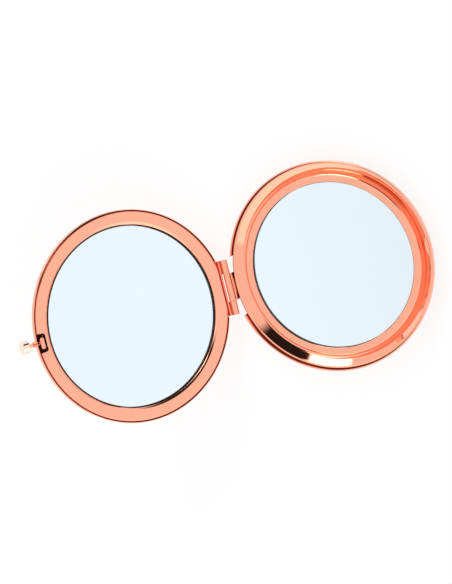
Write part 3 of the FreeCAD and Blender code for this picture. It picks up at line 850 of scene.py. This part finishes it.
class MakeFrames(bpy.types.Operator):
    """Frames that hold the mirrors: the base's groove and ring, and the lid's ring with its slot"""

    bl_idname = "compact.frames"
    bl_label = "Frames"

    def line_pocket(self, frame_ring, pocket):
        """Paint dark shade on the wall of the pocket that holds a mirror."""
        reach = pocket + sizes().edge_round / 2
        paint(frame_ring, dark_shadow_paint(), lambda _, r, lean: lean < -STRAIGHT and r < reach)

    def base_frame(self):
        s = sizes()
        edge = BASE_SHELL.high.z - s.base_wall
        edge_r = BASE_SHELL.high.y - edge
        outer = edge - s.sheet - s.gap
        bottom = BASE_FRAME.low.z
        flange = BASE_FRAME.high.z
        ring = BASE_MIRROR.high.z + s.base_recess
        pocket = BASE_MIRROR.high.y + s.mirror_gap
        floor = bottom + s.floor
        small = s.edge_round
        sin_out = math.sin(s.outer_slope)
        cos_out = math.cos(s.outer_slope)
        tan_out = math.tan(s.outer_slope)

        def outside(z):
            """Radius of the frame at a height, where it follows the shell's rounded edge."""
            return edge_r + math.sqrt(outer ** 2 - (edge - z) ** 2)

        # outer lip, where the slope of the groove rounds over to the frame's top
        flange_in = outside(flange) - s.flange_width
        lip = flange - s.lip_drop
        lip_r = outside(lip)
        round_r = flange_in - s.lip_drop / tan_out + s.lip_round * math.tan(s.outer_slope / 2)

        # hollow at the foot of the outer side, which it carries on to the bottom of the groove
        inner_z = ring - s.groove_depth
        hollow_z = inner_z + s.groove_hollow * math.cos(s.foot_slope)
        hollow_r = flange_in - (flange + s.groove_hollow / cos_out - hollow_z) / tan_out
        inner_r = hollow_r + s.groove_hollow * math.sin(s.foot_slope)

        # inner side, and the rounded edge that takes it over to the flat ring
        shoulder_z = ring - s.groove_edge * (1 - math.cos(s.inner_slope))
        shoulder_r = inner_r - (shoulder_z - inner_z) / math.tan(s.inner_slope)
        flat_r = shoulder_r - s.groove_edge * math.sin(s.inner_slope)

        outline = Outline(0, bottom).line(outside(bottom), bottom)
        outline.arc(lip_r, lip - small, (edge_r, edge), 1, steps=16)
        outline.arc(lip_r - small, lip, (lip_r - small, lip - small), 1, steps=6)
        outline.line(round_r, lip)
        outline.arc(round_r - s.lip_round * sin_out, lip - s.lip_round * (1 - cos_out),
                    (round_r, lip - s.lip_round), 1, steps=16)
        outline.line(hollow_r + s.groove_hollow * sin_out, hollow_z - s.groove_hollow * cos_out)
        outline.arc(inner_r, inner_z, (hollow_r, hollow_z), -1, steps=24)
        outline.line(shoulder_r, shoulder_z)
        outline.arc(flat_r, ring, (flat_r, ring - s.groove_edge), 1, steps=28)
        outline.line(pocket + small, ring)
        outline.arc(pocket, ring - small, (pocket + small, ring - small), 1, steps=5)
        outline.line(pocket, floor).line(0, floor)
        frame_ring = turned("base_frame_ring", outline, rose_gold())
        self.line_pocket(frame_ring, pocket)
        # the frame's outer edge, in the seam with the shell, gets dark painted shade
        seam_from = lip_r - s.seam
        return paint(frame_ring, dark_shadow_paint(), lambda _, r, __: r > seam_from)

    def lid_frame(self):
        s = sizes()
        radius = LID_FRAME.high.y
        face = LID_FRAME.low.z
        back = face + s.ring_thickness
        pocket = LID_MIRROR.high.y + s.mirror_gap
        skirt = pocket + s.skirt
        floor_back = LID_FRAME.high.z
        floor_face = floor_back - s.lid_floor
        inner = crown(pocket, face, -1, -1, s.ring_edge, s.ring_slope, s.edge_round)
        outer = crown(radius, face, 1, -1, s.ring_rim, s.ring_slope, s.edge_round)
        outline = Outline(0, floor_face).line(pocket, floor_face).line(*inner.foot)
        outline.arc(*inner.bend, inner.small_centre, 1, steps=6)
        outline.arc(*inner.flat, inner.wide_centre, 1, steps=24)
        outline.line(*outer.flat)
        outline.arc(*outer.bend, outer.wide_centre, 1, steps=16)
        outline.arc(*outer.foot, outer.small_centre, 1, steps=6)
        outline.line(radius, back).line(skirt, back).line(skirt, floor_back).line(0, floor_back)
        frame_ring = turned("lid_frame_ring", outline, plated_ring())

        # slot for hook and latch, and the straight cut along the hinge
        outside = radius + s.sheet
        below = face - s.sheet
        above = back + s.sheet
        half = s.slot_width / 2 / HOOK.high.x
        slot_end = LATCH.low.x - TRAVEL - s.slot_play
        cut(frame_ring, slot_loop(slot_end, outside, half, s.slot_corner), below, above)
        half = PIN.high.y
        cut(frame_ring, box_loop(-outside, -half, s.ring_flat - radius, half), below, above)
        self.line_pocket(frame_ring, pocket)
        # red painted shade on the ring's outer edge, in the seam with the shell
        shade_painted_from = radius - s.ring_rim
        return paint(frame_ring, shade_painted_gold(), lambda _, r, lean: lean > s.aged_lean and r > shade_painted_from)

    def execute(self, context):
        take(self.base_frame(), "base_frame", "base")
        take(open_out(self.lid_frame()), "lid_frame", "lid")
        return {"FINISHED"}


class MakeMirrors(bpy.types.Operator):
    """Mirrors of bevelled glass, silvered behind, with a ground edge"""

    bl_idname = "compact.mirrors"
    bl_label = "Mirrors"

    def mirror(self, name, radius, front, back, bevel):
        into = 1 if back > front else -1
        back -= into * sizes().backing
        outline = Outline(0, front).line(radius - bevel, front).line(radius, front + into * bevel / 2)
        outline.line(radius, back).line(0, back)
        glass = turned(name, outline, front_glass())
        paint(glass, silvering_with_painted_shade(), lambda face, *_: face.normal.z * into > STRAIGHT)
        # sides and bevel: the glass edge's dark colour with painted shade of the gap round it
        return paint(glass, ground_edge_and_shade(), lambda face, *_: abs(face.normal.z) < STRAIGHT)

    def execute(self, context):
        s = sizes()
        low, high = BASE_MIRROR
        base = self.mirror("base_mirror_glass", high.y, high.z, low.z, s.base_bevel)
        take(base, "base_mirror", "base")
        low, high = LID_MIRROR
        lid = self.mirror("lid_mirror_glass", high.y, low.z, high.z, s.lid_bevel)
        take(open_out(lid), "lid_mirror", "lid")
        return {"FINISHED"}


class MakeHinge(bpy.types.Operator):
    """Hinge leaves bent from sheet, their knuckles, and the pin"""

    bl_idname = "compact.hinge"
    bl_label = "Hinge"

    def leaf(self, name, loop, half):
        """Outline of a leaf with the pin's bore, drawn out along the pin."""
        bore = circle_points(*HINGE_AXIS, PIN_RADIUS + sizes().bore_play)
        return prism(name, [loop, bore], -half, half, rose_gold(), ACROSS_Y)

    def base_leaf(self):
        """Plate, arm under the barrel, and middle knuckle."""
        s = sizes()
        under = PIVOT.z - BARREL
        top = under + s.leaf
        rise = top + s.leaf_rise
        foot = BASE_LEAF.low.z
        plate_in = BASE_LEAF.high.x
        plate_out = plate_in - s.leaf
        meet = math.asin((top - PIVOT.z) / BARREL)
        loop = [(plate_in, foot), (plate_in, rise), (plate_out, rise), (plate_out, top)]
        loop += arc_points(HINGE_AXIS, BARREL, meet, 1.5 * math.pi, steps=40)
        loop += [(plate_out, under), (plate_out, foot)]
        leaf = soften(self.leaf("base_hinge_knuckle", loop, BASE_LEAF.high.y), s.leaf_soft)
        take(leaf, "base_hinge_leaf", "base")

    def lid_leaf(self):
        """Plate behind the lid's ring, with a crease along it, two arms and the outer knuckles."""
        s = sizes()
        plate_in = LID_LEAF.high.x
        top = LID_LEAF.high.z
        under = top - s.leaf
        meet = math.asin((under - PIVOT.z) / BARREL)
        crease_in = s.ring_flat - LID_FRAME.high.y
        crease_out = crease_in - s.crease
        deep = under + s.crease_depth
        loop = [(crease_in, under), (plate_in, under), (plate_in, top)]
        loop += arc_points(HINGE_AXIS, BARREL, math.pi / 2, math.tau + meet, steps=48)
        loop += [(crease_out - s.crease_depth / 2, under), (crease_out, deep)]
        leaf = self.leaf("lid_hinge_knuckles", loop, PIN.high.y)

        # room for the middle knuckle
        half = BASE_LEAF.high.y + s.knuckle_gap
        gap = box_loop(PIVOT.x - 2 * BARREL, -half, -(LID_FRAME.high.y + s.leaf_proud), half)
        cut(leaf, gap, PIVOT.z - 2 * BARREL, top + BARREL)
        soften(leaf, s.leaf_soft)

        valley_x, _ = around(HINGE_AXIS, BARREL, meet)

        def folded(face, *_):
            """Faces of the crease, and those where the knuckles rise from the plate."""
            x, _, z = face.center
            across = crease_out - s.crease < x < crease_in + s.leaf_soft
            in_crease = across and under + s.leaf_soft / 4 < z < deep + s.leaf_soft
            near_valley = math.hypot(x - valley_x, z - under) < s.leaf
            return in_crease or near_valley and abs(face.normal.z) < STRAIGHT

        # red painted shade in the crease and where the knuckles rise from the plate
        paint(leaf, shade_painted_gold(), folded)
        take(open_out(leaf), "lid_hinge_leaf", "lid")

    def pin(self):
        outline = rod_outline(PIN_RADIUS, -PIN.high.y, PIN.high.y, sizes().pin_dome)
        place = Matrix.Translation(PIVOT) @ Matrix.Rotation(math.pi / 2, 4, "X")
        rod = turned("hinge_pin_rod", outline, spring_steel(), place, segments=48)
        take(rod, "hinge_pin", "base")

    def execute(self, context):
        self.base_leaf()
        self.lid_leaf()
        self.pin()
        return {"FINISHED"}


class MakeCatch(bpy.types.Operator):
    """Hook that stands in the base's flange, with a round-ended beak"""

    bl_idname = "compact.catch"
    bl_label = "Catch hook"

    def execute(self, context):
        s = sizes()
        low, high = HOOK
        outer = BASE_SHELL.high.y - s.sheet - s.backing
        inner = high.x - s.hook_plate
        plate = sector_loop(inner, outer, high.y / outer)
        hook = prism("catch_hook_plate", [plate], low.z, high.z, rose_gold())

        # beak: a bow from the middle of the plate in to the hook's tip
        half = s.beak_width / 2
        root = inner + s.hook_plate / 2
        root_x = math.sqrt(root ** 2 - half ** 2)
        depth = root_x - low.x
        radius = (half ** 2 + depth ** 2) / (2 * depth)
        centre = (low.x + radius, 0)
        first = math.atan2(half, root_x - centre[0])
        back = math.asin(half / root)
        loop = arc_points(centre, radius, first, math.tau - first, steps=24)
        loop += arc_points(MIDDLE, root, -back, back, steps=12)[1:-1]
        beak = prism("beak", [loop], high.z - s.beak, high.z, rose_gold())
        soften(boolean(hook, beak, "UNION"), s.hook_soft)
        take(hook, "catch_hook", "base")
        return {"FINISHED"}


# Point of the knob's crowned face, as shares of the knob's radius and of the crown's rise
CROWN_RADIUS = 0.6
CROWN_DROP = 0.4


class MakeButton(bpy.types.Operator):
    """Push knob, its stem and bush, and the latch that they work"""

    bl_idname = "compact.button"
    bl_label = "Button and latch"

    def knob(self, place):
        s = sizes()
        inner, outer = KNOB.low.x, KNOB.high.x
        radius = KNOB.high.y
        flat_r = radius - s.knob_edge
        bore = STEM.high.y + s.stem_play
        bottom = STEM.high.x + s.stem_play
        low = inner + s.knob_edge
        face = outer - s.knob_crown
        high = face - s.knob_edge
        outline = Outline(0, bottom).line(bore, bottom).line(bore, inner).line(flat_r, inner)
        outline.arc(radius, low, (flat_r, low), 1, steps=8)
        outline.line(radius, high)
        outline.arc(flat_r, face, (flat_r, high), 1, steps=8)
        outline.line(radius * CROWN_RADIUS, outer - s.knob_crown * CROWN_DROP).line(0, outer)
        knob = turned("push_knob", outline, highlight_pale_gold(), place, segments=96)
        take(open_out(knob), "button_knob", "button")

    def stem(self, place):
        outline = rod_outline(STEM.high.y, STEM.low.x, STEM.high.x, sizes().chamfer)
        stem = turned("knob_stem", outline, rose_gold(), place, segments=48)
        take(open_out(stem), "button_stem", "button")

    def bush(self, place):
        s = sizes()
        inner, outer = BUSH.low.x, BUSH.high.x
        radius = BUSH.high.y
        bore = STEM.high.y + s.bush_play
        edge = outer - s.chamfer
        outline = Outline(bore, inner).line(radius, inner).line(radius, edge)
        outline.line(radius - s.chamfer, outer).line(bore + s.chamfer, outer).line(bore, edge).closed()
        bush = turned("stem_bush", outline, rose_gold(), place, segments=64)
        take(open_out(bush), "button_bush", "lid")

    def latch(self, axis_z):
        """Oval lip with a block behind it, bored for the stem."""
        s = sizes()
        low, high = LATCH
        end = (high.x - low.x) / 2
        middle = low.x + end
        reach = high.y - end
        loop = arc_points((middle, reach), end, 0, math.pi, steps=24)
        loop += arc_points((middle, -reach), end, math.pi, math.tau, steps=24)
        latch = prism("latch_lip", [loop], low.z, low.z + s.lip, rose_gold())
        soften(latch, s.lip_soft, steps=5)
        half = s.block_width / 2
        loop = box_loop(low.x, -half, low.x + s.block_depth, half)
        block = prism("block", [loop], low.z + s.block_root * s.lip, high.z, rose_gold())
        boolean(latch, block, "UNION")
        hole = circle_points(-axis_z, 0, STEM.high.y + s.stem_play, steps=32)
        cut(latch, hole, low.x - s.lip, high.x + s.lip, ALONG_X)
        take(open_out(latch), "latch_block", "button")

    def execute(self, context):
        axis_z = (KNOB.low.z + KNOB.high.z) / 2
        place = Matrix.Translation((0, 0, axis_z)) @ Matrix.Rotation(math.pi / 2, 4, "Y")
        self.knob(place)
        self.stem(place)
        self.bush(place)
        self.latch(axis_z)
        return {"FINISHED"}


class DressInside(bpy.types.Operator):
    """Finishes of the pads inside the case, and the spring that gives way to the latch"""

    bl_idname = "compact.inside"
    bl_label = "Pads and spring"

    def spring(self):
        """Bowed strip between skirt and latch, kept bowed here, though the real one flattens to the skirt
        as the latch comes in.
        """
        s = sizes()
        low, high = SPRING
        half = high.y
        depth = high.x - low.x
        radius = (half ** 2 + depth ** 2) / (2 * depth)
        centre = (high.x - radius, 0)
        turn = math.asin(half / radius)
        loop = arc_points(centre, radius, -turn, turn, steps=48)
        loop += arc_points(centre, radius - s.strip, turn, -turn, steps=48)
        bow = open_out(prism("latch_bow", [loop], low.z, high.z, spring_steel()))
        take(bow, "latch_spring", "lid")
        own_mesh(bow)

    def execute(self, context):
        self.spring()
        for node in ("base_mirror_tape", "lid_mirror_tape", "base_liner", "lid_liner"):
            dress(frame["nodes"][node], foam())
        return {"FINISHED"}


# Studio

FLOOR_REACH = 3.0
FLOOR_DROP = 0.02 * MM
SENSOR_WIDTH = 36
VIEW_END = 20

# Power of the rounded outline that the cards have
CARD_CORNER = 6


class Card(NamedTuple):
    """Card that stands far off: its place and size as seen from the object, in degrees, and its light."""

    azimuth: float
    elevation: float
    width: float
    height: float
    softness: float
    brightness: float


# Bright wall, pale card overhead, dark card and lamp, each in front of those before it
STUDIO_CARDS = (
    Card(azimuth=-95, elevation=18, width=114, height=60, softness=0.08, brightness=1.45),
    Card(azimuth=103, elevation=62, width=40, height=30, softness=0.4, brightness=1.3),
    Card(azimuth=60, elevation=24, width=43, height=80, softness=0.22, brightness=0.02),
    Card(azimuth=93, elevation=27, width=26, height=43, softness=0.15, brightness=4.0),
)


def towards(azimuth, elevation):
    flat = math.cos(elevation)
    return Vector((flat * math.cos(azimuth), flat * math.sin(azimuth), math.sin(elevation)))


class MakeStage(bpy.types.Operator):
    """Pale floor, soft studio light and the camera"""

    bl_idname = "compact.stage"
    bl_label = "Stage"

    def seen(self, tree, amount):
        """The given amount for rays from the camera, or by way of metal or glass, and none for others."""
        path = tree.nodes.new("ShaderNodeLightPath")
        total = path.outputs["Is Camera Ray"]
        for name in ("Is Glossy Ray", "Is Transmission Ray"):
            total = math_node(tree, "MAXIMUM", total, path.outputs[name])
        return math_node(tree, "MULTIPLY", total, amount)

    def floor(self, stage):
        form = bmesh.new()
        bmesh.ops.create_grid(form, x_segments=1, y_segments=1, size=FLOOR_REACH)
        bmesh.ops.translate(form, verts=form.verts, vec=(0, 0, -FLOOR_DROP))
        mesh = bpy.data.meshes.new("floor")
        form.to_mesh(mesh)
        form.free()
        finish, tree, shader = new_finish("studio_floor", {
            "Roughness": 0.9, "Specular IOR Level": 0.0, "Base Color": (*stage.floor_tone, 1)})
        glow = tree.nodes.new("ShaderNodeEmission")
        blend = tree.nodes.new("ShaderNodeMixShader")
        tree.links.new(self.seen(tree, stage.floor_glow), blend.inputs["Fac"])
        tree.links.new(shader.outputs[0], blend.inputs[1])
        tree.links.new(glow.outputs[0], blend.inputs[2])
        tree.links.new(blend.outputs[0], tree.nodes["Material Output"].inputs["Surface"])
        mesh.materials.append(finish)
        new_piece("floor", mesh)

    def mask(self, tree, card):
        """Mask, from 0 to 1, of a soft-edged studio card."""
        ahead = towards(math.radians(card.azimuth), math.radians(card.elevation))
        across = Vector((0, 0, 1)).cross(ahead).normalized()
        direction = tree.nodes.new("ShaderNodeTexCoord").outputs["Generated"]

        def along(axis):
            dot = tree.nodes.new("ShaderNodeVectorMath")
            dot.operation = "DOT_PRODUCT"
            dot.inputs[1].default_value = axis
            tree.links.new(direction, dot.inputs[0])
            return dot.outputs["Value"]

        depth = along(ahead)
        offset = 0.0
        for axis, size in ((across, card.width), (ahead.cross(across), card.height)):
            half = math.tan(math.radians(size) / 2)
            stretch = math_node(tree, "DIVIDE", math_node(tree, "DIVIDE", along(axis), depth), half)
            offset = math_node(tree, "ADD", math_node(tree, "POWER", stretch, CARD_CORNER), offset)
        edge = tree.nodes.new("ShaderNodeMapRange")
        edge.interpolation_type = "SMOOTHSTEP"
        edge.inputs["From Min"].default_value = 1 - card.softness
        edge.inputs["From Max"].default_value = 1 + card.softness
        edge.inputs["To Min"].default_value = 1.0
        edge.inputs["To Max"].default_value = 0.0
        tree.links.new(math_node(tree, "POWER", offset, 1 / CARD_CORNER), edge.inputs["Value"])
        in_front = math_node(tree, "GREATER_THAN", depth, 0.0)
        return math_node(tree, "MULTIPLY", in_front, edge.outputs["Result"])

    def light(self, stage):
        """White room with the studio's cards in it, all of them in the world."""
        world = bpy.data.worlds.new("studio")
        world.use_nodes = True
        tree = world.node_tree
        level = stage.room
        for card in STUDIO_CARDS:
            blend = tree.nodes.new("ShaderNodeMix")
            tree.links.new(self.mask(tree, card), blend.inputs["Factor"])
            if isinstance(level, float):
                blend.inputs["A"].default_value = level
            else:
                tree.links.new(level, blend.inputs["A"])
            blend.inputs["B"].default_value = card.brightness
            level = blend.outputs["Result"]
        background = tree.nodes["Background"]
        background.inputs["Color"].default_value = (1, 1, 1, 1)
        tree.links.new(level, background.inputs["Strength"])
        bpy.context.scene.world = world

    def camera(self, stage):
        back = towards(stage.azimuth, stage.elevation)
        level = Vector((0, 0, 1)).cross(back).normalized()
        rise = back.cross(level)
        turn = Matrix((level, rise, back)).transposed().to_4x4()
        data = bpy.data.cameras.new("camera")
        data.sensor_fit = "HORIZONTAL"
        data.sensor_width = SENSOR_WIDTH
        data.lens = stage.lens
        data.clip_end = VIEW_END
        camera = bpy.data.objects.new("camera", data)
        bpy.context.scene.collection.objects.link(camera)
        camera.matrix_world = (Matrix.Translation(Vector(stage.target) + back * stage.distance)
                               @ turn @ Matrix.Rotation(stage.roll, 4, "Z"))
        bpy.context.scene.camera = camera

    def execute(self, context):
        stage = context.scene.compact_stage
        self.floor(stage)
        self.light(stage)
        self.camera(stage)
        context.scene.view_settings.view_transform = "Standard"
        return {"FINISHED"}


class CompactPanel(bpy.types.Panel):
    """Lists the steps in the 3D view's sidebar"""

    bl_idname = "VIEW3D_PT_compact"
    bl_label = "Compact mirror"
    bl_space_type = "VIEW_3D"
    bl_region_type = "UI"
    bl_category = "Compact"

    def draw(self, context):
        for step in STEPS:
            self.layout.operator(step.bl_idname)


GROUPS = {"compact_sizes": CompactSizes, "compact_colours": CompactColours, "compact_stage": CompactStage}
STEPS = (MakeShells, MakeFrames, MakeMirrors, MakeHinge, MakeCatch, MakeButton, DressInside, MakeStage)


def register():
    for item in (*GROUPS.values(), *STEPS, CompactPanel):
        bpy.utils.register_class(item)
    for name, group in GROUPS.items():
        setattr(bpy.types.Scene, name, PointerProperty(type=group))


def unregister():
    for name in GROUPS:
        delattr(bpy.types.Scene, name)
    for item in reversed((*GROUPS.values(), *STEPS, CompactPanel)):
        bpy.utils.unregister_class(item)


def main():
    register()
    for step in STEPS:
        family, name = step.bl_idname.split(".")
        getattr(getattr(bpy.ops, family), name)()


if __name__ == "__main__":
    main()
